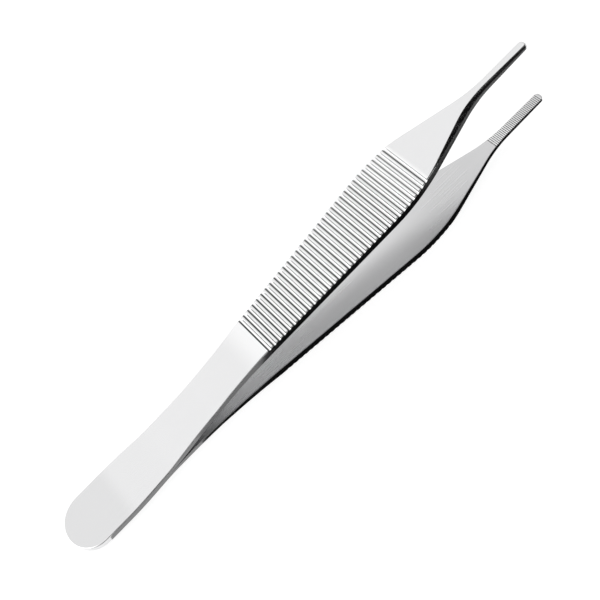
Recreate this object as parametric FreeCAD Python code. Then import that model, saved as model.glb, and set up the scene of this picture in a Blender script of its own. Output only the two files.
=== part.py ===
"""Thumb forceps with fine tips: two forged and ground steel arms, welded face to face at the heel.

Each arm is drawn with its inner face meeting the other arm's on Z = 0, the heel at X = 0 and the tip
at X = LENGTH. Two profiles give its form: the outline seen on the broad face, and the bent strip seen
from the side. The lower arm is the upper arm's mirror image, with its fine teeth half a pitch further
along, so that the tips interlock. Last, the pair is laid down on the lower arm's outer face, as it
comes to rest on a table. Units are millimetres.
"""
import FreeCAD
import Part
import math
import os
from FreeCAD import Vector

# Outline of an arm on its broad face: runs from the heel to the tip, and the widths where they meet
HEEL_RUN = 13.9
TAPER_RUN = 17.0
WAIST_RUN = 12.0
GRIP_RUN = 44.4
SHOULDER_RUN = 19.8
NOSE_RUN = 13.4
HEEL_WIDTH = 11.1
SHANK_WIDTH = 8.72
WAIST_WIDTH = 8.38
GRIP_WIDTH = 13.17
NOSE_WIDTH = 2.05
TIP_WIDTH = 1.85
HEEL_SIDE_RADIUS = 80.0
WAIST_RADIUS = 150.0
GRIP_RADIUS = 40.0
NOSE_RADIUS = 27.0
TIP_CORNER_RADIUS = 0.75

# The strip seen from the side: how far the weld and the flat heel reach, and its other turning
# places, each told from the weld's end or from a corner of the outline
WELD_LENGTH = 25.3
HEEL_FLAT_LENGTH = 21.9
SHANK_TURN_AFTER_WELD = 9.1
RIDGES_START_AFTER_WAIST = 5.2
RIDGES_END_AFTER_GRIP = 3.3
HUMP_BEFORE_NOSE = 4.3
BEAK_AFTER_NOSE = 2.6

# Places along the arm that follow from the sizes above
SHANK_X = HEEL_RUN + TAPER_RUN
WAIST_X = SHANK_X + WAIST_RUN
GRIP_X = WAIST_X + GRIP_RUN
NOSE_X = GRIP_X + SHOULDER_RUN
LENGTH = NOSE_X + NOSE_RUN
SHANK_TURN_X = WELD_LENGTH + SHANK_TURN_AFTER_WELD
RIDGES_START_X = WAIST_X + RIDGES_START_AFTER_WAIST
RIDGES_END_X = GRIP_X + RIDGES_END_AFTER_GRIP
HUMP_X = NOSE_X - HUMP_BEFORE_NOSE
BEAK_X = NOSE_X + BEAK_AFTER_NOSE

# Slope of each run of the inner face past the weld flat, in degrees
SHANK_ANGLE = 7.6
GRIP_ANGLE = 5.5
SHOULDER_ANGLE = 2.9
NOSE_ANGLE = 1.3
ROOT_BEND_RADIUS = 70.0
ARM_BEND_RADIUS = 150.0

# Thickness of the strip at the places where its outer face turns
HEEL_THICKNESS = 0.8
SHANK_THICKNESS = 1.15
GRIP_THICKNESS = 1.85
HUMP_THICKNESS = 2.06
BEAK_THICKNESS = 1.61
TIP_THICKNESS = 1.08
OUTER_BEND_RADIUS = 30.0

# Outer edges: a small bevel all round, and a ground bevel that opens out along the nose
EDGE_BEVEL = 0.3
NOSE_BEVEL_HEIGHT = 1.0
NOSE_BEVEL_ANGLE = 33.0

# Round-bottomed cross grooves of the thumb grip, with a flat land left between each and the next,
# and how far they stand towards the tip from the middle of the ridged stretch
GROOVE_COUNT = 33
GROOVE_PITCH = 1.255
GROOVE_RADIUS = 0.427
GROOVE_DEPTH = 0.35
GROOVES_SHIFT = 0.34

# Fine cross teeth on the inner face of the nose
TOOTH_COUNT = 33
TOOTH_PITCH = 0.39
TOOTH_DEPTH = 0.16
TIP_LAND = 0.3
LOWER_TOOTH_PHASE = 0.5

# How far the cutting shapes stand clear of the steel
CLEAR = 5.0

# Points looked at on each run of the outer face, to find where it touches the table
TOUCH_SAMPLES = 9


def slope(angle):
    return math.tan(math.radians(angle))


def rounded_path(points, radii):
    """Edges along the points, with a tangent arc of the given radius at each inner point."""
    edges = []
    start = points[0]
    for before, corner, after, radius in zip(points, points[1:], points[2:], radii):
        inward = (before - corner).normalize()
        outward = (after - corner).normalize()
        half_turn = (math.pi - inward.getAngle(outward)) / 2
        setback = radius * math.tan(half_turn)
        middle = (inward + outward).normalize()
        arc_start = corner + inward * setback
        arc_middle = corner + middle * (radius / math.cos(half_turn) - radius)
        arc_end = corner + outward * setback
        edges.append(Part.makeLine(start, arc_start))
        edges.append(Part.Arc(arc_start, arc_middle, arc_end).toShape())
        start = arc_end
    edges.append(Part.makeLine(start, points[-1]))
    return edges


def wire(edges):
    return Part.Wire(Part.__sortEdges__(edges))


def across_width(edges):
    """The closed profile, drawn at Y = 0, made a prism that reaches past both sides of the arm."""
    width = max(GRIP_WIDTH, HEEL_WIDTH) + 2 * CLEAR
    prism = Part.Face(wire(edges)).extrude(Vector(0, width, 0))
    prism.translate(Vector(0, -width / 2, 0))
    return prism


def other_side(edges):
    return [edge.mirror(Vector(0, 0, 0), Vector(0, 1, 0)) for edge in edges]


def side_points(inset=0.0, height=0.0):
    """Corners of the outline from the waist to the tip, moved in towards the middle by the inset."""
    corners = [(WAIST_X, WAIST_WIDTH), (GRIP_X, GRIP_WIDTH), (NOSE_X, NOSE_WIDTH), (LENGTH, TIP_WIDTH)]
    return [Vector(x, width / 2 - inset, height) for x, width in corners]


def outline_prism():
    """The outline of the broad face, drawn upwards: round heel, waist, thumb grip and nose."""
    heel_radius = HEEL_WIDTH / 2
    heel_points = [Vector(heel_radius, heel_radius, 0), Vector(HEEL_RUN, heel_radius, 0),
                   Vector(SHANK_X, SHANK_WIDTH / 2, 0)]
    side = rounded_path(heel_points + side_points() + [Vector(LENGTH, 0, 0)],
                        [HEEL_SIDE_RADIUS, WAIST_RADIUS, WAIST_RADIUS, GRIP_RADIUS, NOSE_RADIUS,
                         TIP_CORNER_RADIUS])
    heel_end = Part.Arc(heel_points[0], Vector(0, 0, 0), Vector(heel_radius, -heel_radius, 0)).toShape()
    outline = Part.Face(wire(side + other_side(side) + [heel_end]))
    return outline.extrude(Vector(0, 0, outer_top() + CLEAR))


def inner_points():
    """Corners of the inner face's line, from the heel to the tip."""
    runs = [(WAIST_X, SHANK_ANGLE), (RIDGES_END_X, GRIP_ANGLE), (HUMP_X, SHOULDER_ANGLE),
            (LENGTH, NOSE_ANGLE)]
    points = [Vector(0, 0, 0), Vector(WELD_LENGTH, 0, 0)]
    for x, angle in runs:
        last = points[-1]
        points.append(Vector(x, 0, last.z + (x - last.x) * slope(angle)))
    return points


def height_on(points, x):
    """Height of the line through the points at a place along the arm."""
    for low, high in zip(points, points[1:]):
        if x <= high.x:
            break
    return low.z + (x - low.x) * (high.z - low.z) / (high.x - low.x)


def outer_points():
    """Corners of the outer face's line, each a stated thickness above the inner face."""
    stations = [(0.0, HEEL_THICKNESS), (HEEL_FLAT_LENGTH, HEEL_THICKNESS),
                (SHANK_TURN_X, SHANK_THICKNESS), (RIDGES_START_X, GRIP_THICKNESS),
                (RIDGES_END_X, GRIP_THICKNESS), (HUMP_X, HUMP_THICKNESS),
                (BEAK_X, BEAK_THICKNESS), (LENGTH, TIP_THICKNESS)]
    inner = inner_points()
    return [Vector(x, 0, height_on(inner, x) + thickness) for x, thickness in stations]


def outer_top():
    return max(point.z for point in outer_points())


def outer_line():
    points = outer_points()
    return rounded_path(points, [OUTER_BEND_RADIUS] * (len(points) - 2))


def strip_prism():
    """The bent strip seen from the side: its inner face, its outer face and its two ends."""
    inner = inner_points()
    outer = outer_points()
    bends = [ROOT_BEND_RADIUS] + [ARM_BEND_RADIUS] * (len(inner) - 3)
    ends = [Part.makeLine(inner[0], outer[0]), Part.makeLine(inner[-1], outer[-1])]
    return across_width(rounded_path(inner, bends) + outer_line() + ends)


def outer_edges(blank):
    """The edges that run round the outer face, without those that cross it or stand upright."""
    inner, outer = inner_points(), outer_points()
    found = []
    for edge in blank.Edges:
        box = edge.BoundBox
        middle = edge.valueAt((edge.FirstParameter + edge.LastParameter) / 2)
        centre_line = (height_on(inner, middle.x) + height_on(outer, middle.x)) / 2
        crosses = box.YMin < -EDGE_BEVEL and box.YMax > EDGE_BEVEL
        upright = box.ZMin < centre_line < box.ZMax
        if middle.z > centre_line and not crosses and not upright:
            found.append(edge)
    return found


def nose_bevels():
    """What the bevels take off the nose: all above a level, outside walls that lean inwards."""
    base = outer_top() - NOSE_BEVEL_HEIGHT
    rise = NOSE_BEVEL_HEIGHT + EDGE_BEVEL
    levels = []
    for lift in (0, rise):
        corners = side_points(lift * slope(NOSE_BEVEL_ANGLE), base + lift)
        corners[-1] += (corners[-1] - corners[-2]).normalize() * CLEAR
        side = rounded_path(corners, [GRIP_RADIUS, NOSE_RADIUS])
        ends = [Part.makeLine(point, Vector(point.x, -point.y, point.z))
                for point in (corners[0], corners[-1])]
        levels.append(wire(side + other_side(side) + ends))
    kept = Part.makeLoft(levels, True, True)
    slab = Part.makeBox(LENGTH + CLEAR - WAIST_X, GRIP_WIDTH + 2 * CLEAR, rise,
                        Vector(WAIST_X, -GRIP_WIDTH / 2 - CLEAR, base))
    return slab.cut(kept)


def grip_grooves():
    """What the grooves take off the outer face: one round-bottomed bar for each, drawn across the arm."""
    start, end = [point for point in outer_points() if point.x in (RIDGES_START_X, RIDGES_END_X)]
    along = (end - start).normalize()
    up = Vector(-along.z, 0, along.x)
    first = ((end - start).Length - (GROOVE_COUNT - 1) * GROOVE_PITCH) / 2 + GROOVES_SHIFT
    bars = []
    for index in range(GROOVE_COUNT):
        centre = start + along * (first + index * GROOVE_PITCH) + up * (GROOVE_RADIUS - GROOVE_DEPTH)
        left = centre - along * GROOVE_RADIUS
        right = centre + along * GROOVE_RADIUS
        bottom = Part.Arc(left, centre - up * GROOVE_RADIUS, right).toShape()
        walls = Part.makePolygon([left, left + up * CLEAR, right + up * CLEAR, right]).Edges
        bars.append(across_width([bottom] + walls))
    return bars


def tooth_comb(phase):
    """What the fine teeth take off the inner face, as one zigzag, moved by a share of a pitch."""
    nose, tip = inner_points()[-2:]
    along = (tip - nose).normalize()
    up = Vector(-along.z, 0, along.x)
    start = tip - along * (TIP_LAND + (TOOTH_COUNT + phase) * TOOTH_PITCH)
    zigzag = [start - up * TOOTH_DEPTH]
    for index in range(TOOTH_COUNT):
        zigzag.append(start + along * index * TOOTH_PITCH)
        zigzag.append(start + along * (index + 0.5) * TOOTH_PITCH + up * TOOTH_DEPTH)
    end = start + along * TOOTH_COUNT * TOOTH_PITCH
    zigzag += [end, end - up * TOOTH_DEPTH, zigzag[0]]
    return across_width(Part.makePolygon(zigzag).Edges)


def arm(tooth_phase):
    blank = outline_prism().common(strip_prism()).Solids[0]
    blank = blank.makeChamfer(EDGE_BEVEL, outer_edges(blank))
    cut = blank.cut(grip_grooves() + [nose_bevels(), tooth_comb(tooth_phase)])
    return cut.Solids[0]


def lie_angle():
    """How far the heel's flat tilts when the arm below rests on its heel end and its grip."""
    heel = Vector(EDGE_BEVEL, 0, HEEL_THICKNESS)
    tilts = []
    for edge in outer_line():
        for point in edge.discretize(TOUCH_SAMPLES):
            if point.x > HEEL_FLAT_LENGTH:
                tilts.append(math.atan2(point.z - heel.z, point.x - heel.x))
    return math.degrees(max(tilts))


def laid_down(shapes):
    """The shapes turned to the lie angle, with the middle of their underside at the origin."""
    turned = [shape.rotated(Vector(0, 0, 0), Vector(0, -1, 0), lie_angle()) for shape in shapes]
    box = Part.makeCompound(turned).optimalBoundingBox(False, False)
    shift = Vector(-(box.XMin + box.XMax) / 2, 0, -box.ZMin)
    return [shape.translated(shift) for shape in turned]


if __name__ == "__main__":
    upper = arm(0.0)
    lower = arm(LOWER_TOOTH_PHASE).mirror(Vector(0, 0, 0), Vector(0, 0, 1))
    os.makedirs("parts", exist_ok=True)
    for name, shape in zip(("upper_arm", "lower_arm"), laid_down([upper, lower])):
        shape.exportStep(f"parts/{name}.step")
        print(name, "volume", round(shape.Volume, 1), "valid", shape.isValid())
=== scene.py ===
"""Fine-tipped thumb forceps in satin steel, and the plain studio that they are seen in.

Each arm is drawn as it is made, in millimetres: the heel at X = 0, the tip an arm's length along X, and the
inner face meeting the other arm's on Z = 0. The pair is then laid down on the lower arm's back, as it rests
on a table, and brought to metres over the solids of the frame.
"""
import logging
import math
from dataclasses import dataclass
from enum import Enum
from functools import cached_property
from typing import Dict, List, NamedTuple, Optional, Sequence, Tuple, Union

import bpy
from mathutils import Matrix, Vector


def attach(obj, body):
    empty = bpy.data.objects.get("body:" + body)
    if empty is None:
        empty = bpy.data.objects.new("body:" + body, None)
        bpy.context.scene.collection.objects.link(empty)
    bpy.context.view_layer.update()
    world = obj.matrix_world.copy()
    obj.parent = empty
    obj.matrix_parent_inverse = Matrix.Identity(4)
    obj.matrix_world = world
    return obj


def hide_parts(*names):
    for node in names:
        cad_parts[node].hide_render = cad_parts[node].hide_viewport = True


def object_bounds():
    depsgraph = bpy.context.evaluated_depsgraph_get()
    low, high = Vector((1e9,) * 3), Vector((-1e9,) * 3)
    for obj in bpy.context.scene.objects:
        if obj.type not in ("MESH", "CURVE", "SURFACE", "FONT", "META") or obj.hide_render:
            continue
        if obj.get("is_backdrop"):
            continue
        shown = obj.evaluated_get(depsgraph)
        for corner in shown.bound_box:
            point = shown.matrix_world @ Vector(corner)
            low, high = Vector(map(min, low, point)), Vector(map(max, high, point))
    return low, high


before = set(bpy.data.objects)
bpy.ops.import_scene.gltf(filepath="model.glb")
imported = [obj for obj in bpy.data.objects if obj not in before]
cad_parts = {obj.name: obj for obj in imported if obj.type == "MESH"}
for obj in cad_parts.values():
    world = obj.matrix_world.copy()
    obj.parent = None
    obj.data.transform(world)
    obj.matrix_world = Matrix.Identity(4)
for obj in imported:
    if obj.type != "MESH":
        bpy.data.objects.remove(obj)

LOG = logging.getLogger("thumb_forceps")
METRES_PER_MM = 0.001
# Where a mix node holds its share and its two values, when it mixes numbers and when it mixes colours
MIX_NUMBERS = (0, 2, 3)
MIX_COLOURS = (0, 6, 7)
Pair = Tuple[float, float]
Triple = Tuple[float, float, float]
Value = Union[bpy.types.NodeSocket, float, Sequence[float]]
Sockets = Dict[str, bpy.types.NodeSocket]


class Face(Enum):
    """The surfaces of an arm that are finished in different ways, with their material slots' order."""

    BROAD = 0
    SIDE = 1
    TEETH = 2
    INSIDE = 3


class Mark(Enum):
    """Numbers kept at each point of an arm for its finish, its painted highlights and its painted shade,
    named as the material reads them.
    """

    # edges rubbed bright by handling with a painted highlight, and the grooves' painted highlight
    RUB_AND_HIGHLIGHT = "rim"
    # painted shade: how dark a groove's wall nearer the heel and a valley between the teeth are painted
    PAINTED_SHADE = "hollow"


class Arc(NamedTuple):
    """A round stretch of a line that runs along the arm."""

    start: float
    end: float
    centre: Pair
    radius: float
    side: float


class RoundedLine:
    """Straight runs joined by tangent arcs, read as a height at each place along the arm."""

    def __init__(self, corners: Sequence[Pair], radii: Sequence[float]) -> None:
        """Find where each arc begins and ends.

        Args:
            corners: Place along the arm and height of each corner, from the heel to the tip.
            radii: Radius of the arc at each corner but the first and the last.
        """
        self.corners = list(corners)
        self.arcs: List[Arc] = []
        for before, corner, after, radius in zip(corners, corners[1:], corners[2:], radii):
            way_in = math.atan2(corner[1] - before[1], corner[0] - before[0])
            way_out = math.atan2(after[1] - corner[1], after[0] - corner[0])
            side = math.copysign(1.0, way_out - way_in)
            setback = radius * math.tan(abs(way_out - way_in) / 2)
            start = (corner[0] - setback * math.cos(way_in), corner[1] - setback * math.sin(way_in))
            centre = (start[0] - side * radius * math.sin(way_in),
                      start[1] + side * radius * math.cos(way_in))
            end = corner[0] + setback * math.cos(way_out)
            self.arcs.append(Arc(start[0], end, centre, radius, side))

    def height(self, x: float) -> float:
        """Height of the line at a place along the arm.

        Args:
            x: Distance from the heel.

        Returns:
            The height of the run or arc that passes there.
        """
        for arc in self.arcs:
            if arc.start <= x <= arc.end:
                return arc.centre[1] - arc.side * math.sqrt(arc.radius ** 2 - (x - arc.centre[0]) ** 2)
        low, high = self.corners[0], self.corners[1]
        for low, high in zip(self.corners, self.corners[1:]):
            if x <= high[0]:
                break
        return low[1] + (x - low[0]) * (high[1] - low[1]) / (high[0] - low[0])

    def slope(self, x: float, reach: float = 0.01) -> float:
        """Rise of the line for each millimetre along the arm, read over a short reach to each side."""
        return (self.height(x + reach) - self.height(x - reach)) / (2 * reach)


class Stop(NamedTuple):
    """A place on the outline where a cross-section of the arm stands."""

    x: float
    y: float
    inward: Pair
    fan: Optional[float]


class Point(NamedTuple):
    """A point of a cross-section, with the marks that its finish, its painted highlights and its painted
    shade read.
    """

    place: Triple
    rim: float = 0.0
    hollow: float = 0.0


@dataclass(frozen=True)
class ArmForm:
    """The driving sizes of an arm in millimetres and degrees, and the heights of its faces."""

    heel_run: float = 13.9
    taper_run: float = 17.0
    waist_run: float = 12.0
    grip_run: float = 44.4
    shoulder_run: float = 19.8
    nose_run: float = 13.4
    heel_width: float = 11.1
    shank_width: float = 8.72
    waist_width: float = 8.38
    grip_width: float = 13.17
    nose_width: float = 2.05
    tip_width: float = 1.85
    side_radii: Tuple[float, ...] = (80.0, 150.0, 150.0, 40.0, 27.0)
    tip_corner_radius: float = 0.75

    weld_length: float = 25.3
    heel_flat_length: float = 21.9
    shank_turn_after_weld: float = 9.1
    ridges_start_after_waist: float = 5.2
    ridges_end_after_grip: float = 3.3
    hump_before_nose: float = 4.3
    beak_after_nose: float = 2.6

    shank_angle: float = 7.6
    grip_angle: float = 5.5
    shoulder_angle: float = 2.9
    nose_angle: float = 1.3
    root_bend_radius: float = 70.0
    arm_bend_radius: float = 150.0

    heel_thickness: float = 0.8
    shank_thickness: float = 1.15
    grip_thickness: float = 1.85
    hump_thickness: float = 2.06
    beak_thickness: float = 1.61
    tip_thickness: float = 1.08
    outer_bend_radius: float = 30.0

    outer_edge_radius: float = 0.3
    inner_edge_radius: float = 0.11
    seam_radius: float = 0.03
    seam_opening_run: float = 4.0
    nose_bevel_height: float = 1.0
    nose_bevel_angle: float = 33.0

    groove_count: int = 33
    groove_pitch: float = 1.255
    groove_radius: float = 0.427
    groove_depth: float = 0.35
    grooves_shift: float = 0.34
    groove_lip_radius: float = 0.06
    # Where the painted shade on a groove's wall nearer the heel ends and the painted highlight on its wall
    # nearer the tip begins, as shares of a groove's half width
    shaded_wall_share: float = 0.32
    highlit_wall_share: float = 0.6

    tooth_count: int = 33
    tooth_pitch: float = 0.39
    tooth_depth: float = 0.16
    tip_land: float = 0.3

    @property
    def shank_x(self) -> float:
        """Where the heel's taper ends."""
        return self.heel_run + self.taper_run

    @property
    def waist_x(self) -> float:
        """Where the arm is narrowest before the grip."""
        return self.shank_x + self.waist_run

    @property
    def grip_x(self) -> float:
        """Where the grip is widest."""
        return self.waist_x + self.grip_run

    @property
    def nose_x(self) -> float:
        """Where the shoulder ends and the slim nose begins."""
        return self.grip_x + self.shoulder_run

    @property
    def length(self) -> float:
        """From the heel to the tip."""
        return self.nose_x + self.nose_run

    @property
    def ridges_start_x(self) -> float:
        """Where the ridged stretch begins."""
        return self.waist_x + self.ridges_start_after_waist

    @property
    def ridges_end_x(self) -> float:
        """Where the ridged stretch ends."""
        return self.grip_x + self.ridges_end_after_grip

    @cached_property
    def side_line(self) -> RoundedLine:
        """Half the arm's width, from the round heel to the tip.

        Returns:
            The outline's line, with a half width for each place along the arm.
        """
        corners = [(self.heel_width / 2, self.heel_width / 2), (self.heel_run, self.heel_width / 2),
                   (self.shank_x, self.shank_width / 2), (self.waist_x, self.waist_width / 2),
                   (self.grip_x, self.grip_width / 2), (self.nose_x, self.nose_width / 2),
                   (self.length, self.tip_width / 2)]
        return RoundedLine(corners, self.side_radii)

    @cached_property
    def inner_line(self) -> RoundedLine:
        """The inner face seen from the side: flat at the weld, then sprung away from the other arm.

        Returns:
            The face's line, with a height for each place along the arm.
        """
        runs = [(self.waist_x, self.shank_angle), (self.ridges_end_x, self.grip_angle),
                (self.nose_x - self.hump_before_nose, self.shoulder_angle), (self.length, self.nose_angle)]
        corners = [(0.0, 0.0), (self.weld_length, 0.0)]
        for x, angle in runs:
            last_x, last_height = corners[-1]
            corners.append((x, last_height + (x - last_x) * math.tan(math.radians(angle))))
        return RoundedLine(corners, [self.root_bend_radius] + [self.arm_bend_radius] * (len(corners) - 3))

    @cached_property
    def outer_line(self) -> RoundedLine:
        """The outer face seen from the side, a stated thickness above the inner face at each turn.

        Returns:
            The face's line, before the grooves and the nose's bevels are cut.
        """
        stations = [(0.0, self.heel_thickness), (self.heel_flat_length, self.heel_thickness),
                    (self.weld_length + self.shank_turn_after_weld, self.shank_thickness),
                    (self.ridges_start_x, self.grip_thickness), (self.ridges_end_x, self.grip_thickness),
                    (self.nose_x - self.hump_before_nose, self.hump_thickness),
                    (self.nose_x + self.beak_after_nose, self.beak_thickness),
                    (self.length, self.tip_thickness)]
        unbent = RoundedLine(self.inner_line.corners, [])
        corners = [(x, unbent.height(x) + thickness) for x, thickness in stations]
        return RoundedLine(corners, [self.outer_bend_radius] * (len(corners) - 2))

    @property
    def bevel_base(self) -> float:
        """Height above which the nose's bevels lean inwards."""
        return max(height for _, height in self.outer_line.corners) - self.nose_bevel_height

    @property
    def groove_edge(self) -> float:
        """Half the width of a groove where it meets the lands."""
        return math.sqrt(self.groove_radius ** 2 - (self.groove_radius - self.groove_depth) ** 2)

    @cached_property
    def groove_lip(self) -> Pair:
        """The rounded lip between a groove and its land.

        Returns:
            How far from the groove's middle the lip ends on the land, and on the groove's wall.
        """
        radius, lip = self.groove_radius, self.groove_lip_radius
        drop = radius - self.groove_depth + lip
        on_land = math.sqrt((radius + lip) ** 2 - drop ** 2)
        return on_land, on_land * radius / (radius + lip)

    @property
    def first_groove_x(self) -> float:
        """Where the middle of the first groove lies."""
        slack = self.ridges_end_x - self.ridges_start_x - (self.groove_count - 1) * self.groove_pitch_x
        return self.ridges_start_x + slack / 2 + self.grooves_shift

    @property
    def groove_pitch_x(self) -> float:
        """The grooves' pitch as it measures along X, since the grip's back slopes."""
        low, high = self.outer_line.corners[3:5]
        return self.groove_pitch * math.cos(math.atan2(high[1] - low[1], high[0] - low[0]))

    def outer_rounding(self, inset: float) -> float:
        """How far the round edge lies below the outer face.

        Args:
            inset: Distance in from the outline.

        Returns:
            The drop, or nothing past the edge's radius.
        """
        radius = self.outer_edge_radius
        short = max(0.0, radius - inset)
        return radius - math.sqrt(radius ** 2 - short ** 2)

    def off_groove(self, x: float) -> float:
        """Distance from the middle of the nearest groove.

        Args:
            x: Distance from the heel.

        Returns:
            The distance as a share of the groove's half width, below 0 on the side nearer the heel.
        """
        run = (x - self.first_groove_x) / self.groove_pitch_x
        nearest = min(self.groove_count - 1, max(0, round(run)))
        return (run - nearest) * self.groove_pitch / self.groove_edge

    def groove_cut(self, x: float) -> float:
        """How deep a round groove lies below the outer face's line.

        Args:
            x: Distance from the heel.

        Returns:
            The depth, or nothing at all on the lands and outside the ridged stretch.
        """
        off_middle = abs(self.off_groove(x)) * self.groove_edge
        on_land, on_wall = self.groove_lip
        if off_middle >= on_land:
            return 0.0
        if off_middle > on_wall:
            lip = self.groove_lip_radius
            return lip - math.sqrt(lip ** 2 - (on_land - off_middle) ** 2)
        return math.sqrt(self.groove_radius ** 2 - off_middle ** 2) - self.groove_radius + self.groove_depth

    def painted_groove_shade(self, x: float) -> float:
        """Painted shade of a groove: all on the wall nearer the heel, none elsewhere."""
        return 1.0 if -1.0 < self.off_groove(x) < -self.shaded_wall_share else 0.0

    def painted_groove_highlight(self, x: float) -> float:
        """Painted highlight of a groove: all on the upper wall and lip nearer the tip, none elsewhere."""
        off = self.off_groove(x) * self.groove_edge
        return 1.0 if self.highlit_wall_share * self.groove_edge < off < self.groove_lip[0] else 0.0

    def bevel_height(self, inset: float) -> float:
        """Height of the nose's leaning bevel at an inset from the outline."""
        return self.bevel_base + inset / math.tan(math.radians(self.nose_bevel_angle))

    def outer_height(self, x: float, inset: float) -> float:
        """Height of the outer face.

        Args:
            x: Distance from the heel.
            inset: Distance in from the outline.

        Returns:
            The lowest of the rounded face, the grooves and the nose's bevel.
        """
        line = self.outer_line.height(x)
        rounded = line - self.outer_rounding(inset)
        return min(rounded, line - self.groove_cut(x), self.bevel_height(inset))

    def edge_reach(self, x: float) -> float:
        """How far in from the outline the outer face's rounded or bevelled edge reaches."""
        rise = max(0.0, self.outer_line.height(x) - self.bevel_base)
        return max(self.outer_edge_radius, rise * math.tan(math.radians(self.nose_bevel_angle)))

    def inner_edge(self, x: float) -> float:
        """Radius of the inner face's edge: a bare hairline at the weld, then a broken edge."""
        share = min(1.0, max(0.0, (x - self.weld_length) / self.seam_opening_run))
        return self.seam_radius + (self.inner_edge_radius - self.seam_radius) * share

    def teeth_start(self, phase: float) -> float:
        """Where the toothed stretch begins, with the teeth moved towards the heel by a share of a pitch."""
        return self.length - self.tip_land - (self.tooth_count + phase) * self.tooth_pitch

    def tooth_cut(self, x: float, phase: float) -> float:
        """How deep the fine teeth are cut into the inner face.

        Args:
            x: Distance from the heel.
            phase: Share of a pitch that the teeth are moved by.

        Returns:
            The depth, or nothing at all outside the teeth.
        """
        run = (x - self.teeth_start(phase)) / self.tooth_pitch
        if not 0.0 < run < self.tooth_count:
            return 0.0
        return self.tooth_depth * (1.0 - abs(1.0 - 2.0 * (run % 1.0)))

    def lie_angle(self, samples: int = 600) -> float:
        """Tilt of the heel when the arm below rests on its heel's end and its grip.

        Args:
            samples: How many places along the arm are tried as the one that it rests on.

        Returns:
            The tilt in radians.
        """
        heel_x = self.outer_edge_radius
        tilts: List[float] = []
        for index in range(samples):
            x = self.heel_flat_length + (self.length - self.heel_flat_length) * index / samples
            tilts.append(math.atan2(self.outer_line.height(x) - self.heel_thickness, x - heel_x))
        return max(tilts)


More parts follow.
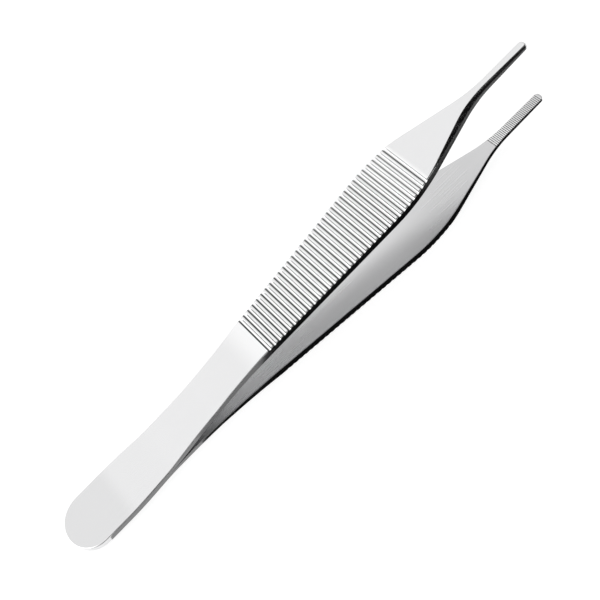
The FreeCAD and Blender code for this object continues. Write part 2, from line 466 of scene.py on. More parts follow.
@dataclass(frozen=True)
class ForcepsArm:
    """One arm of the forceps, as a dense closed mesh of cross-sections."""

    name: str
    node: str
    upper: bool
    tooth_phase: float
    form: ArmForm = ArmForm()
    heel_steps: int = 30
    corner_steps: int = 8
    tip_steps: int = 3
    plain_step: float = 0.7
    groove_steps: int = 6
    lip_steps: int = 3
    tooth_steps: int = 4
    face_shares: Tuple[float, ...] = (0.03, 0.33, 0.66, 1.0)
    wall_shares: Tuple[float, ...] = (0.06, 0.5, 0.94)
    outer_turns: int = 7
    inner_turns: int = 3
    smooth_angle: float = 24.0
    closest_sections: float = 1e-3
    merge_distance: float = 1e-4

    def places(self) -> List[float]:
        """Where the cross-sections stand between the round heel and the tip's corners.

        Returns:
            Distances from the heel: dense in the grooves and teeth, and evenly spread elsewhere.
        """
        form = self.form
        marks = [form.heel_width / 2, form.length - form.tip_corner_radius]
        on_land, on_wall = form.groove_lip
        turn = math.asin(on_wall / form.groove_radius)
        offs = [form.groove_radius * math.sin(turn * step / self.groove_steps)
                for step in range(self.groove_steps)]
        offs += [on_land - form.groove_lip_radius * math.sin(turn * (1 - step / self.lip_steps))
                 for step in range(self.lip_steps + 1)]
        for groove in range(form.groove_count):
            middle = form.first_groove_x + groove * form.groove_pitch_x
            for off in offs:
                run = off * form.groove_pitch_x / form.groove_pitch
                marks += [middle - run, middle + run]
        marks += self.tooth_places()
        marks = sorted(x for x in marks if marks[0] <= x <= marks[1])
        kept = [marks[0]]
        for x in marks[1:]:
            if x - kept[-1] > self.closest_sections:
                gaps = math.ceil((x - kept[-1]) / self.plain_step)
                kept += [kept[-1] + (x - kept[-1]) * gap / gaps for gap in range(1, gaps + 1)]
        return kept

    def tooth_places(self) -> List[float]:
        """Where the cross-sections of the fine teeth stand.

        Returns:
            Distances from the heel of the crests, the valleys and the middles of the flanks.
        """
        start = self.form.teeth_start(self.tooth_phase)
        steps = self.form.tooth_count * self.tooth_steps
        return [start + step * self.form.tooth_pitch / self.tooth_steps for step in range(steps + 1)]

    def corner_turns(self) -> List[Pair]:
        """Turns round the tip's corner where a section stands, and how far each reaches along the arm.

        Returns:
            Pairs of a turn and of the share of the corner's length at which its section meets the middle
            line. The sections stand square to the arm as far as the last tooth, then fan out to the tip.
        """
        form = self.form
        start = form.length - form.tip_corner_radius
        reach = form.tip_corner_radius - form.inner_edge_radius
        turns = [math.pi / 2 * step / self.corner_steps for step in range(1, self.corner_steps + 1)]
        toothed = [math.asin((x - start) / reach) for x in self.tooth_places() if start < x < start + reach]
        turns = sorted(turns + toothed)
        square = sum(turn <= max(toothed) for turn in turns)
        top = math.sin(turns[square - 1])
        opened = len(turns) - square + self.tip_steps
        shares = [math.sin(turn) for turn in turns[:square]]
        shares += [top + (1 - top) * (step + 1) / opened for step in range(len(turns) - square)]
        return list(zip(turns, shares))

    def stops(self) -> List[Stop]:
        """The cross-sections' places on the outline.

        Returns:
            The stops, from the middle of the heel to the middle of the tip.
        """
        form = self.form
        found: List[Stop] = []
        heel = form.heel_width / 2
        for step in range(self.heel_steps):
            turn = math.pi / 2 * step / self.heel_steps
            found.append(Stop(heel - heel * math.cos(turn), heel * math.sin(turn),
                              (math.cos(turn), -math.sin(turn)), None))
        for x in self.places():
            inward = Vector((form.side_line.slope(x), -1.0)).normalized()
            found.append(Stop(x, form.side_line.height(x), (inward.x, inward.y), None))
        corner = form.tip_corner_radius
        flat = form.tip_width / 2 - corner
        turns = self.corner_turns()
        for turn, fan in turns:
            found.append(Stop(form.length - corner + corner * math.sin(turn), flat + corner * math.cos(turn),
                              (-math.sin(turn), -math.cos(turn)), fan))
        last_fan = turns[-1][1]
        for step in range(1, self.tip_steps + 1):
            opened = last_fan + (1 - last_fan) * step / self.tip_steps
            found.append(Stop(form.length, flat * (1 - step / self.tip_steps), (-1.0, 0.0), opened))
        return found

    def across(self, stop: Stop, inset: float, share: float) -> Pair:
        """A point of a section, seen on the broad face.

        Args:
            stop: The section's place on the outline.
            inset: Distance in from the outline, along its normal.
            share: How far the point lies from there to the arm's middle line.

        Returns:
            The point's X and Y.
        """
        x, y = stop.x + inset * stop.inward[0], stop.y + inset * stop.inward[1]
        middle = x
        if stop.fan is not None:
            corner = self.form.tip_corner_radius
            middle = self.form.length - corner + (corner - inset) * stop.fan
        return x + (middle - x) * share, y * (1 - share)

    def outer_point(self, stop: Stop, inset: float, share: float, rim: float) -> Point:
        """A point on the outer face or its edge.

        Args:
            stop: The section's place on the outline.
            inset: Distance in from the outline.
            share: How far the point lies from there to the arm's middle line.
            rim: How bright the edge is rubbed and painted with a highlight there.

        Returns:
            The point, with the marks of a rubbed edge with its painted highlight and of a groove's painted
            shade.
        """
        x, y = self.across(stop, inset, share)
        reach = inset if share == 0 else self.form.edge_reach(x)
        # painted highlight on the rubbed edge and on the groove's upper wall nearer the tip
        worn_and_highlit = max(rim, self.form.painted_groove_highlight(x))
        # the groove's wall nearer the heel carries painted shade
        return Point((x, y, self.form.outer_height(x, reach)), worn_and_highlit, self.form.painted_groove_shade(x))

    def inner_point(self, stop: Stop, inset: float, share: float, lift: float) -> Point:
        """A point on the inner face or its edge.

        Args:
            stop: The section's place on the outline.
            inset: Distance in from the outline.
            share: How far the point lies from there to the arm's middle line.
            lift: Least height of the point above the face's line.

        Returns:
            The point, with the mark of how deep it lies between the teeth, which sets how dark the painted
            shade is there.
        """
        x, y = self.across(stop, inset, share)
        cut = self.form.tooth_cut(x, self.tooth_phase)
        height = self.form.inner_line.height(x) + max(lift, cut)
        # painted shade between the teeth, darkest at the valleys
        return Point((x, y, height), hollow=cut / self.form.tooth_depth)

    def section(self, stop: Stop) -> List[Point]:
        """Half a cross-section, from the middle of the inner face round the side to the outer middle.

        Args:
            stop: The section's place on the outline.

        Returns:
            The section's points, as many for every stop.
        """
        edge = self.form.inner_edge(stop.x)
        points = [self.inner_point(stop, edge, share, 0.0) for share in reversed(self.face_shares)]
        for step in range(self.inner_turns + 1):
            turn = math.pi / 2 * step / self.inner_turns
            inset, lift = edge * (1 - math.sin(turn)), edge * (1 - math.cos(turn))
            points.append(self.inner_point(stop, inset, 0.0, lift))
        low = points[-1]
        reach = self.form.edge_reach(stop.x)
        outer_edge: List[Point] = []
        for step in range(self.outer_turns):
            turn = math.pi / 2 * step / (self.outer_turns - 1)
            # rubbed wear with a painted highlight, strongest halfway round the edge
            rim = math.sin(2 * turn)
            outer_edge.append(self.outer_point(stop, reach * (1 - math.cos(turn)), 0.0, rim))
        high = outer_edge[0]
        for share in self.wall_shares:
            height = low.place[2] + (high.place[2] - low.place[2]) * share
            points.append(Point((stop.x, stop.y, height)))
        points += outer_edge
        points += [self.outer_point(stop, reach, share, 0.0) for share in self.face_shares]
        return points

    def face_of_level(self, level: int, x: float) -> Face:
        """The kind of surface between one level of the sections and the next.

        Args:
            level: The lower level's place in the section, counted from the middle of the inner face.
            x: Distance from the heel.

        Returns:
            The kind of surface.
        """
        inner_levels = len(self.face_shares) + self.inner_turns
        wall_top = inner_levels + len(self.wall_shares) + 1
        if level < inner_levels:
            toothed = x > self.form.teeth_start(self.tooth_phase)
            return Face.TEETH if toothed else Face.INSIDE
        return Face.SIDE if level < wall_top else Face.BROAD

    def build(self, finishes: Dict[Face, bpy.types.Material]) -> bpy.types.Object:
        """Model the arm from a flat grid, straight and in millimetres.

        Args:
            finishes: The material of each kind of surface, in the order of their slots.

        Returns:
            The arm's object, still in its own frame.
        """
        sections = [self.section(stop) for stop in self.stops()]
        levels = len(sections[0])
        bpy.ops.object.select_all(action="DESELECT")
        bpy.ops.mesh.primitive_grid_add(x_subdivisions=levels - 1, y_subdivisions=len(sections) - 1)
        arm = bpy.context.object
        arm.name = self.name
        arm.data.name = self.name
        points = [point for section in sections for point in section]
        flip = 1.0 if self.upper else -1.0
        for vertex, point in zip(arm.data.vertices, points):
            vertex.co = Vector((point.place[0], point.place[1], flip * point.place[2]))
        for mark in Mark:
            kept = arm.data.attributes.new(mark.value, "FLOAT", "POINT")
            kept.data.foreach_set("value", [getattr(point, mark.value) for point in points])
        for kind in Face:
            arm.data.materials.append(finishes[kind])
        for face in arm.data.polygons:
            level = min(index % levels for index in face.vertices)
            face.material_index = self.face_of_level(level, face.center.x).value
        self.close_and_mirror(arm)
        return arm

    def close_and_mirror(self, arm: bpy.types.Object) -> None:
        """Close the half arm's ends, add its other half and smooth it up to its true edges.

        Args:
            arm: The half arm's object.
        """
        bpy.ops.object.mode_set(mode="EDIT")
        bpy.ops.mesh.select_all(action="SELECT")
        bpy.ops.mesh.remove_doubles(threshold=self.merge_distance)
        bpy.ops.object.mode_set(mode="OBJECT")
        mirror = arm.modifiers.new("other_half", "MIRROR")
        mirror.use_axis = (False, True, False)
        mirror.merge_threshold = self.merge_distance
        bpy.ops.object.modifier_apply(modifier=mirror.name)
        bpy.ops.object.mode_set(mode="EDIT")
        bpy.ops.mesh.select_all(action="SELECT")
        bpy.ops.mesh.remove_doubles(threshold=self.merge_distance)
        bpy.ops.mesh.normals_make_consistent(inside=False)
        bpy.ops.object.mode_set(mode="OBJECT")
        bpy.ops.object.shade_smooth_by_angle(angle=math.radians(self.smooth_angle))
        weighted = arm.modifiers.new("flat_faces", "WEIGHTED_NORMAL")
        weighted.keep_sharp = True
        bpy.ops.object.modifier_apply(modifier=weighted.name)


class Fade(NamedTuple):
    """A smooth change: where it begins and ends, and what it gives before and after."""

    source: Pair
    target: Pair = (0.0, 1.0)


class Wiring:
    """Adds nodes to a shader tree and joins them."""

    def __init__(self, tree: bpy.types.NodeTree) -> None:
        """Keep the tree that the nodes go into."""
        self.tree = tree

    def add(self, kind: str, **settings: object) -> bpy.types.Node:
        """Add a node with its settings.

        Args:
            kind: Blender's name of the node.
            settings: Properties of the node, by name.

        Returns:
            The new node.
        """
        node = self.tree.nodes.new(kind)
        for name, value in settings.items():
            setattr(node, name, value)
        return node

    def put(self, socket: bpy.types.NodeSocket, value: Value) -> None:
        """Join a socket to another one's output, or set it to a plain value.

        Args:
            socket: The input socket.
            value: The output socket to join it to, or its number, vector or colour.
        """
        if isinstance(value, bpy.types.NodeSocket):
            self.tree.links.new(value, socket)
        else:
            socket.default_value = value

    def math(self, operation: str, first: Value, second: Value = 0.0) -> bpy.types.NodeSocket:
        """The result of a sum on two numbers.

        Args:
            operation: Blender's name of the sum.
            first: A socket or a number.
            second: A socket or a number.

        Returns:
            The output socket.
        """
        node = self.add("ShaderNodeMath", operation=operation)
        self.put(node.inputs[0], first)
        self.put(node.inputs[1], second)
        return node.outputs[0]

    def vector(self, operation: str, first: Value, second: Value) -> bpy.types.Node:
        """A sum on two vectors.

        Args:
            operation: Blender's name of the sum.
            first: A socket or a vector.
            second: A socket or a vector.

        Returns:
            The node, with a vector output and one named Value.
        """
        node = self.add("ShaderNodeVectorMath", operation=operation)
        self.put(node.inputs[0], first)
        self.put(node.inputs[1], second)
        return node

    def noise(self, place: Value, scale: Value, detail: float = 2.0,
              distortion: Value = 0.0) -> bpy.types.NodeSocket:
        """A random pattern in space.

        Args:
            place: The coordinates to read it at.
            scale: How fine it is.
            detail: How many finer layers it has.
            distortion: How far its lines waver.

        Returns:
            The socket that gives it, from 0 to 1.
        """
        node = self.add("ShaderNodeTexNoise", noise_dimensions="3D")
        settings = {"Vector": place, "Scale": scale, "Detail": detail, "Distortion": distortion}
        for name, value in settings.items():
            self.put(node.inputs[name], value)
        return node.outputs["Fac"]

    def ramp(self, value: Value, source: Pair, target: Pair = (0.0, 1.0)) -> bpy.types.NodeSocket:
        """A value taken smoothly from one range to another.

        Args:
            value: The socket to read.
            source: Where the change begins and ends.
            target: What comes out before and after it.

        Returns:
            The output socket.
        """
        node = self.add("ShaderNodeMapRange", interpolation_type="SMOOTHSTEP")
        for socket, number in zip(node.inputs, (value, *source, *target)):
            self.put(socket, number)
        return node.outputs[0]

    def mix(self, share: Value, first: Value, second: Value) -> bpy.types.NodeSocket:
        """A number between two.

        Args:
            share: How far it lies from the first to the second.
            first: A socket or a number.
            second: A socket or a number.

        Returns:
            The output socket.
        """
        node = self.add("ShaderNodeMix", data_type="FLOAT")
        for socket, value in zip(MIX_NUMBERS, (share, first, second)):
            self.put(node.inputs[socket], value)
        return node.outputs[0]

    def blend(self, share: Value, first: Value, second: Value) -> bpy.types.NodeSocket:
        """A colour between two.

        Args:
            share: How far it lies from the first to the second.
            first: A socket or a colour with its alpha.
            second: A socket or a colour with its alpha.

        Returns:
            The output socket.
        """
        node = self.add("ShaderNodeMix", data_type="RGBA")
        for socket, value in zip(MIX_COLOURS, (share, first, second)):
            self.put(node.inputs[socket], value)
        return node.outputs[2]


def bare_wiring(owner: Union[bpy.types.Material, bpy.types.World]) -> Wiring:
    """Start the shader tree of a material or of the world with no nodes in it.

    Args:
        owner: The material or the world.

    Returns:
        The wiring of its emptied tree.
    """
    owner.use_nodes = True
    owner.node_tree.nodes.clear()
    return Wiring(owner.node_tree)


def node_group(name: str, inputs: Dict[str, Value],
               outputs: Sequence[str]) -> Tuple[Wiring, Sockets, Sockets]:
    """Start a shader node group with named sockets.

    Args:
        name: The group's name.
        inputs: Each input's name and value; a value of three numbers makes a vector.
        outputs: The names of its number outputs.

    Returns:
        The group's wiring, its inner input sockets and its inner output sockets, by name.
    """
    tree = bpy.data.node_groups.new(name, "ShaderNodeTree")
    for label, value in inputs.items():
        kind = "NodeSocketVector" if isinstance(value, tuple) else "NodeSocketFloat"
        tree.interface.new_socket(label, in_out="INPUT", socket_type=kind).default_value = value
    for label in outputs:
        tree.interface.new_socket(label, in_out="OUTPUT", socket_type="NodeSocketFloat")
    wiring = Wiring(tree)
    entry, leave = wiring.add("NodeGroupInput"), wiring.add("NodeGroupOutput")
    return wiring, dict(entry.outputs.items()), dict(leave.inputs.items())


@dataclass(frozen=True)
class WheelGrain:
    """Fine parallel lines left by the finishing wheel, and the slow drift of their depth."""

    lines: Triple = (60.0, 2500.0, 2500.0)
    waviness: float = 0.4
    line_detail: float = 3.0
    drift_scale: float = 70.0

    def group(self) -> bpy.types.NodeTree:
        """Build the group that the finishes share.

        Returns:
            The group's tree, with the fineness and waviness of its lines as inputs.
        """
        inputs = {"Lines": self.lines, "Waviness": self.waviness}
        wiring, given, result = node_group("wheel_grain", inputs, ("Lines", "Drift"))
        place = wiring.add("ShaderNodeTexCoord").outputs["Object"]
        stretched = wiring.vector("MULTIPLY", place, given["Lines"]).outputs[0]
        wiring.put(result["Lines"], wiring.noise(stretched, 1.0, self.line_detail, given["Waviness"]))
        wiring.put(result["Drift"], wiring.noise(place, self.drift_scale))
        return wiring.tree


@dataclass(frozen=True)
class RubbedEdgesAndPaintedShade:
    """Edges rubbed bright by handling, in patches, with a painted highlight, and painted shade in the
    grooves and between the teeth.
    """

    patch_scale: float = 400.0
    patches: Fade = Fade((0.3, 0.6), (0.6, 1.0))
    painted_shade_from: float = 0.55

    def group(self) -> bpy.types.NodeTree:
        """Build the group that the finishes share.

        Returns:
            The group's tree, with the patches' fineness and the depth that the painted shade begins at as
            inputs.
        """
        inputs = {"Breakup": self.patch_scale, "Painted Shade From": self.painted_shade_from}
        wiring, given, result = node_group("rubbed_edges_and_painted_shade", inputs, ("Rubbed And Highlit", "Painted Shade"))
        place = wiring.add("ShaderNodeTexCoord").outputs["Object"]
        rim = wiring.add("ShaderNodeAttribute", attribute_name=Mark.RUB_AND_HIGHLIGHT.value).outputs["Fac"]
        hollow = wiring.add("ShaderNodeAttribute", attribute_name=Mark.PAINTED_SHADE.value).outputs["Fac"]
        kept = wiring.ramp(wiring.noise(place, given["Breakup"]), *self.patches)
        wiring.put(result["Rubbed And Highlit"], wiring.math("MULTIPLY", rim, kept))
        wiring.put(result["Painted Shade"], wiring.ramp(hollow, (given["Painted Shade From"], 1.0)))
        return wiring.tree


class Stretch(NamedTuple):
    """A stretch of an arm painted lighter or darker, a painted highlight or painted shade that stands in for
    how bright the steel's reflection is there, by its places along X in metres.
    """

    sets_in: Pair
    fades: Pair
    tone: Triple


@dataclass(frozen=True)
class SteelFinish:
    """A finish of bare stainless steel. Its line depth is in metres."""

    name: str
    tone: Triple = (0.78, 0.78, 0.785)
    # colour of the rubbed edges, lightened as a painted highlight
    rubbed_and_highlight_tone: Triple = (0.92, 0.92, 0.925)
    # colour of the painted shade in the grooves and between the teeth
    painted_shade_tone: Triple = (0.08, 0.08, 0.08)
    painted_shade_from: float = 0.2
    roughness: float = 0.2
    rubbed_roughness: float = 0.13
    grain_roughness: float = 0.05
    line_contrast: Pair = (0.3, 0.7)
    drift_contrast: Pair = (0.35, 0.65)
    line_depth: float = 0.0000012
    stretches: Tuple[Stretch, ...] = ()

    def material(self, grain: bpy.types.NodeTree, wear_and_painted_light: bpy.types.NodeTree) -> bpy.types.Material:
        """Make the finish's material.

        Args:
            grain: The shared group of the wheel's lines.
            wear_and_painted_light: The shared group of rubbed edges with their painted highlights, and of
                painted shade.

        Returns:
            The material.
        """
        made = bpy.data.materials.new(self.name)
        made.use_nodes = True
        wiring = Wiring(made.node_tree)
        shader = made.node_tree.nodes["Principled BSDF"]
        lines = wiring.add("ShaderNodeGroup", node_tree=grain)
        edges = wiring.add("ShaderNodeGroup", node_tree=wear_and_painted_light)
        wiring.put(edges.inputs["Painted Shade From"], self.painted_shade_from)
        rubbed_and_highlit, painted_shade_share = edges.outputs["Rubbed And Highlit"], edges.outputs["Painted Shade"]
        # rubbed edges with their painted highlight laid over the tone
        colour = wiring.blend(rubbed_and_highlit, self.tone_along(wiring), (*self.rubbed_and_highlight_tone, 1.0))
        # painted shade laid over the colour in the grooves and between the teeth
        wiring.put(shader.inputs["Base Color"], wiring.blend(painted_shade_share, colour, (*self.painted_shade_tone, 1.0)))
        swing = self.grain_roughness
        fine = wiring.ramp(lines.outputs["Lines"], self.line_contrast, (-swing, swing))
        smoothest = self.roughness - swing
        drift = wiring.ramp(lines.outputs["Drift"], self.drift_contrast, (smoothest, self.roughness))
        worn_and_highlit = wiring.math("MULTIPLY", rubbed_and_highlit, self.rubbed_roughness - self.roughness)
        rough = wiring.math("ADD", wiring.math("ADD", fine, drift), worn_and_highlit)
        wiring.put(shader.inputs["Roughness"], rough)
        shader.inputs["Metallic"].default_value = 1.0
        bump = wiring.add("ShaderNodeBump")
        bump.inputs["Strength"].default_value = 1.0
        bump.inputs["Distance"].default_value = self.line_depth
        wiring.put(bump.inputs["Height"], lines.outputs["Lines"])
        wiring.put(shader.inputs["Normal"], bump.outputs["Normal"])
        return made

    def tone_along(self, wiring: Wiring) -> Value:
        """The finish's tone, with the painted highlights and painted shade of its lighter and darker
        stretches laid over it.

        Args:
            wiring: The material's own wiring.

        Returns:
            The colour of the plain finish, or the socket that gives the colour at each place.
        """
        colour = (*self.tone, 1.0)
        if not self.stretches:
            return colour
        parts = wiring.add("ShaderNodeSeparateXYZ")
        wiring.put(parts.inputs[0], wiring.add("ShaderNodeTexCoord").outputs["Object"])
        for stretch in self.stretches:
            share = wiring.math("MULTIPLY", wiring.ramp(parts.outputs["X"], stretch.sets_in),
                                wiring.ramp(parts.outputs["X"], stretch.fades, (1.0, 0.0)))
            colour = wiring.blend(share, colour, (*stretch.tone, 1.0))
        return colour


# painted highlights and painted shade: lighter and darker stretches that stand in for how bright the steel's
# reflection is there
PAINTED_SHADE_HEEL = Stretch((-0.07, -0.065), (-0.0499, -0.0464), (0.717, 0.717, 0.722))
PAINTED_HIGHLIGHT_RUN_ON = Stretch((-0.0174, -0.0124), (-0.0110, -0.0105), (0.89, 0.89, 0.895))
PAINTED_HIGHLIGHT_FIRST_TEETH = Stretch((0.03, 0.031), (0.0465, 0.056), (0.88, 0.88, 0.885))
PAINTED_SHADE_SHOULDER = Stretch((0.018, 0.034), (0.07, 0.071), (0.63, 0.63, 0.635))
PAINTED_SHADE_TIP = Stretch((0.0595, 0.06), (0.07, 0.071), (0.52, 0.52, 0.525))
FINISHES: Dict[Face, SteelFinish] = {
    Face.BROAD: SteelFinish("satin_broad_face", stretches=(PAINTED_SHADE_HEEL, PAINTED_HIGHLIGHT_RUN_ON)),
    Face.SIDE: SteelFinish("ground_side", roughness=0.24, line_depth=0.000002),
    # the teeth's painted shade is near black and begins close to their crests
    Face.TEETH: SteelFinish("toothed_nose", tone=(0.72, 0.72, 0.725), roughness=0.26, painted_shade_from=0.05,
                            painted_shade_tone=(0.02, 0.02, 0.02), stretches=(PAINTED_HIGHLIGHT_FIRST_TEETH, PAINTED_SHADE_TIP)),
    Face.INSIDE: SteelFinish("plain_inner_face", tone=(0.79, 0.79, 0.795), roughness=0.3,
                             grain_roughness=0.02, line_depth=0.0000002, stretches=(PAINTED_SHADE_SHOULDER,)),
}


@dataclass(frozen=True)
class Card:
    """A flat card on the floor, seen in the steel and by nothing else. Its outline is in metres."""

    name: str
    tone: float
    outline: Tuple[Pair, ...]

    def build(self) -> None:
        """Lay the card on the floor."""
        mesh = bpy.data.meshes.new(self.name)
        mesh.from_pydata([(x, y, 0.0) for x, y in self.outline], [], [list(range(len(self.outline)))])
        card = bpy.data.objects.new(self.name, mesh)
        bpy.context.scene.collection.objects.link(card)
        paint = bpy.data.materials.new(self.name)
        wiring = bare_wiring(paint)
        glow = wiring.add("ShaderNodeEmission")
        wiring.put(glow.inputs["Strength"], self.tone)
        leave = wiring.add("ShaderNodeOutputMaterial")
        wiring.put(leave.inputs["Surface"], glow.outputs[0])
        mesh.materials.append(paint)
        card.visible_camera = False
        card.visible_diffuse = False
        card.visible_shadow = False
        card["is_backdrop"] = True


CARDS: Tuple[Card, ...] = (
    Card("heel_card", 0.3, ((-0.0545, -0.003), (-0.031, -0.003), (-0.028, -0.016), (-0.0545, -0.016))),
    Card("shank_card", 0.2, ((-0.031, -0.0062), (-0.016, -0.0062), (-0.008, -0.016), (-0.028, -0.016))),
    Card("lower_shank_card", 0.004, ((-0.031, -0.003), (-0.016, -0.003), (-0.016, -0.0062),
                                     (-0.031, -0.0062))),
    Card("grip_card", 0.004, ((-0.016, -0.003), (0.026, -0.006), (0.048, -0.0008), (0.064, -0.0008),
                              (0.064, -0.006), (0.034, -0.016), (-0.008, -0.016), (-0.016, -0.0062))),
    Card("nose_card", 0.15, ((0.034, -0.016), (0.064, -0.006), (0.11, -0.006), (0.11, -0.016))),
    Card("near_card", 0.004, ((-0.3, -0.016), (0.3, -0.016), (0.3, -0.06), (-0.3, -0.06))),
    Card("far_card", 0.58, ((-0.045, 0.0035), (-0.010, 0.004), (0.026, 0.006), (0.064, 0.001),
                            (0.5, 0.001), (0.5, 0.5), (-0.045, 0.5))),
)


@dataclass(frozen=True)
class Dome:
    """A soft dome of light, dark past the tip and low on the near side.

    Each fade is read off one part of the direction that the light comes from, a vector of length 1.
    """

    heelward: Triple = (-0.8, 0.6, 0.0)
    horizon: Fade = Fade((0.2, 0.9), (0.25, 1.3))
    above_horizon: Fade = Fade((0.12, 0.42))
    sky_towards_tip: Fade = Fade((0.22, 1.12), (1.06, 0.05))
    sky_past_heel: Fade = Fade((-0.75, -0.45), (0.9, 0.0))
    near_side: Fade = Fade((-0.58, -0.28), (0.02, 1.0))
    near_past_heel: Fade = Fade((-0.14, -0.05), (0.3, 0.0))
    near_strip: Fade = Fade((0.18, 0.3), (0.0, 0.42))
    strip_top: Fade = Fade((0.38, 0.5), (0.55, 0.0))
    strip_middle: float = 0.15
    strip_wings: Fade = Fade((0.24, 0.38))

    def sky(self, wiring: Wiring, way: bpy.types.NodeSocket, parts: Sockets) -> bpy.types.NodeSocket:
        """How bright the dome is: lightest low past the heel, and dimmer towards the tip.

        Args:
            wiring: The world's wiring.
            way: The direction that the light comes from.
            parts: Its X, Y and Z, by name.

        Returns:
            The brightness.
        """
        heelward = wiring.vector("DOT_PRODUCT", way, Vector(self.heelward)).outputs["Value"]
        horizon = wiring.ramp(heelward, *self.horizon)
        tipward = wiring.ramp(parts["X"], *self.sky_towards_tip)
        high = wiring.math("ADD", tipward, wiring.ramp(parts["X"], *self.sky_past_heel))
        return wiring.mix(wiring.ramp(parts["Z"], *self.above_horizon), horizon, high)

    def kept_near(self, wiring: Wiring, parts: Sockets) -> bpy.types.NodeSocket:
        """How much of that the near side keeps: little but past the heel and in a strip above the floor.

        Args:
            wiring: The world's wiring.
            parts: X, Y and Z of the direction that the light comes from, by name.

        Returns:
            The share.
        """
        aside = wiring.math("ABSOLUTE", wiring.math("SUBTRACT", parts["X"], self.strip_middle))
        spared = wiring.math("MAXIMUM", wiring.ramp(parts["Z"], *self.strip_top),
                             wiring.ramp(aside, *self.strip_wings))
        strip = wiring.math("MULTIPLY", wiring.ramp(parts["Z"], *self.near_strip), spared)
        near = wiring.math("MAXIMUM", wiring.ramp(parts["Y"], *self.near_side), strip)
        return wiring.math("MAXIMUM", near, wiring.ramp(parts["X"], *self.near_past_heel))

    def build(self) -> None:
        """Make the dome the scene's world, plain white where the camera sees it."""
        world = bpy.data.worlds.new("studio_dome")
        bpy.context.scene.world = world
        wiring = bare_wiring(world)
        way = wiring.add("ShaderNodeTexCoord").outputs["Generated"]
        split = wiring.add("ShaderNodeSeparateXYZ")
        wiring.put(split.inputs[0], way)
        parts = dict(split.outputs.items())
        lit = wiring.math("MULTIPLY", self.sky(wiring, way, parts), self.kept_near(wiring, parts))
        seen = wiring.add("ShaderNodeLightPath").outputs["Is Camera Ray"]
        glow = wiring.add("ShaderNodeBackground")
        wiring.put(glow.inputs["Color"], (1.0, 1.0, 1.0, 1.0))
        wiring.put(glow.inputs["Strength"], wiring.mix(seen, lit, 1.0))
        leave = wiring.add("ShaderNodeOutputWorld")
        wiring.put(leave.inputs["Surface"], glow.outputs[0])


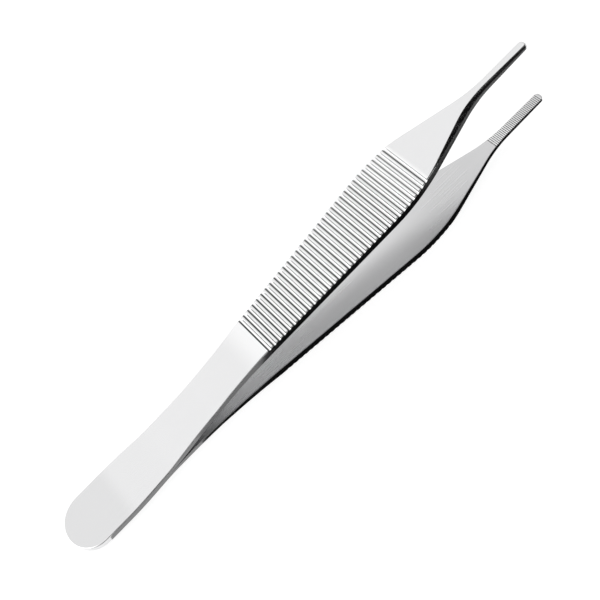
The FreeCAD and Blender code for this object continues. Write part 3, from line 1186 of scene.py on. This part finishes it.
@dataclass(frozen=True)
class Studio:
    """The floor, the light and the camera. None of them is part of the forceps. Lengths are in metres."""

    camera_place: Triple = (-0.02492, -0.10615, 0.17473)
    camera_right: Triple = (0.72791, -0.62113, -0.29041)
    camera_up: Triple = (0.67497, 0.57455, 0.46295)
    focal_length_mm: float = 66.0
    sensor_width_mm: float = 36.0
    nearest_seen: float = 0.01
    floor_size: float = 6.0
    floor_drop: float = 0.00002
    floor_albedo: float = 0.3
    floor_glow: float = 0.86

    def camera(self) -> None:
        """Look down on the forceps from the photograph's viewing angle."""
        lens = bpy.data.cameras.new("camera")
        lens.lens = self.focal_length_mm
        lens.sensor_width = self.sensor_width_mm
        lens.sensor_fit = "HORIZONTAL"
        lens.clip_start = self.nearest_seen
        camera = bpy.data.objects.new("camera", lens)
        bpy.context.scene.collection.objects.link(camera)
        right = Vector(self.camera_right).normalized()
        back = right.cross(Vector(self.camera_up)).normalized()
        turned = Matrix((right, back.cross(right), back)).transposed().to_4x4()
        camera.matrix_world = Matrix.Translation(self.camera_place) @ turned
        bpy.context.scene.camera = camera

    def floor(self) -> None:
        """Lay a white floor that keeps the forceps' shadow."""
        bpy.ops.object.select_all(action="DESELECT")
        bpy.ops.mesh.primitive_plane_add(size=self.floor_size, location=(0.0, 0.0, -self.floor_drop))
        floor = bpy.context.object
        floor.name = "studio_floor"
        paint = bpy.data.materials.new("floor_paint")
        wiring = bare_wiring(paint)
        ray = wiring.add("ShaderNodeLightPath")
        seen = wiring.math("MAXIMUM", ray.outputs["Is Camera Ray"], ray.outputs["Is Glossy Ray"])
        seen = wiring.math("MAXIMUM", seen, ray.outputs["Is Transmission Ray"])
        matt = wiring.add("ShaderNodeBsdfDiffuse")
        matt.inputs["Color"].default_value = (*[self.floor_albedo] * 3, 1.0)
        glow = wiring.add("ShaderNodeEmission")
        wiring.put(glow.inputs["Strength"], wiring.math("MULTIPLY", seen, self.floor_glow))
        both = wiring.add("ShaderNodeAddShader")
        wiring.put(both.inputs[0], matt.outputs[0])
        wiring.put(both.inputs[1], glow.outputs[0])
        leave = wiring.add("ShaderNodeOutputMaterial")
        wiring.put(leave.inputs["Surface"], both.outputs[0])
        floor.data.materials.append(paint)
        floor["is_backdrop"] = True

    def build(self) -> None:
        """Set up the whole studio, with the cards that only the steel's reflections see."""
        self.camera()
        self.floor()
        for card in CARDS:
            card.build()
        Dome().build()
        bpy.context.scene.view_settings.view_transform = "Standard"


@dataclass(frozen=True)
class ThumbForceps:
    """The pair of arms, laid down over the frame's solids."""

    form: ArmForm = ArmForm()
    lower_tooth_phase: float = 0.5

    def lay_down(self, arms: Sequence[bpy.types.Object], low: Vector, high: Vector) -> None:
        """Turn the straight pair to its rest and set it over the frame, in metres.

        Args:
            arms: Both arms' objects, in their own frame.
            low: Lowest corner of the frame's box.
            high: Highest corner of the frame's box.
        """
        turn = Matrix.Rotation(-self.form.lie_angle(), 4, "Y") @ Matrix.Scale(METRES_PER_MM, 4)
        for arm in arms:
            arm.data.transform(turn)
        corners = [vertex.co for arm in arms for vertex in arm.data.vertices]
        middle = (min(corner.x for corner in corners) + max(corner.x for corner in corners)) / 2
        shift = Vector(((low.x + high.x) / 2 - middle, 0.0, low.z - min(corner.z for corner in corners)))
        for arm in arms:
            arm.data.transform(Matrix.Translation(shift))

    def build(self, low: Vector, high: Vector) -> None:
        """Model both arms, lay them down, dress them and put them in the frame's place.

        Args:
            low: Lowest corner of the frame's box.
            high: Highest corner of the frame's box.
        """
        upper = ForcepsArm("upper_arm_steel", "upper_arm", True, 0.0, self.form)
        lower = ForcepsArm("lower_arm_steel", "lower_arm", False, self.lower_tooth_phase, self.form)
        grain, wear_and_painted_light = WheelGrain().group(), RubbedEdgesAndPaintedShade().group()
        finishes = {face: finish.material(grain, wear_and_painted_light) for face, finish in FINISHES.items()}
        arms = {arm: arm.build(finishes) for arm in (upper, lower)}
        self.lay_down(list(arms.values()), low, high)
        for arm, made in arms.items():
            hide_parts(arm.node)
            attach(made, "root")
            LOG.info("%s: %d faces", arm.name, len(made.data.polygons))


def main() -> None:
    """Build the studio and the forceps, and set the forceps over the box of the frame's solids."""
    logging.basicConfig(level=logging.INFO)
    solid_low, solid_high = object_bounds()
    Studio().build()
    ThumbForceps().build(solid_low, solid_high)


if __name__ == "__main__":
    main()
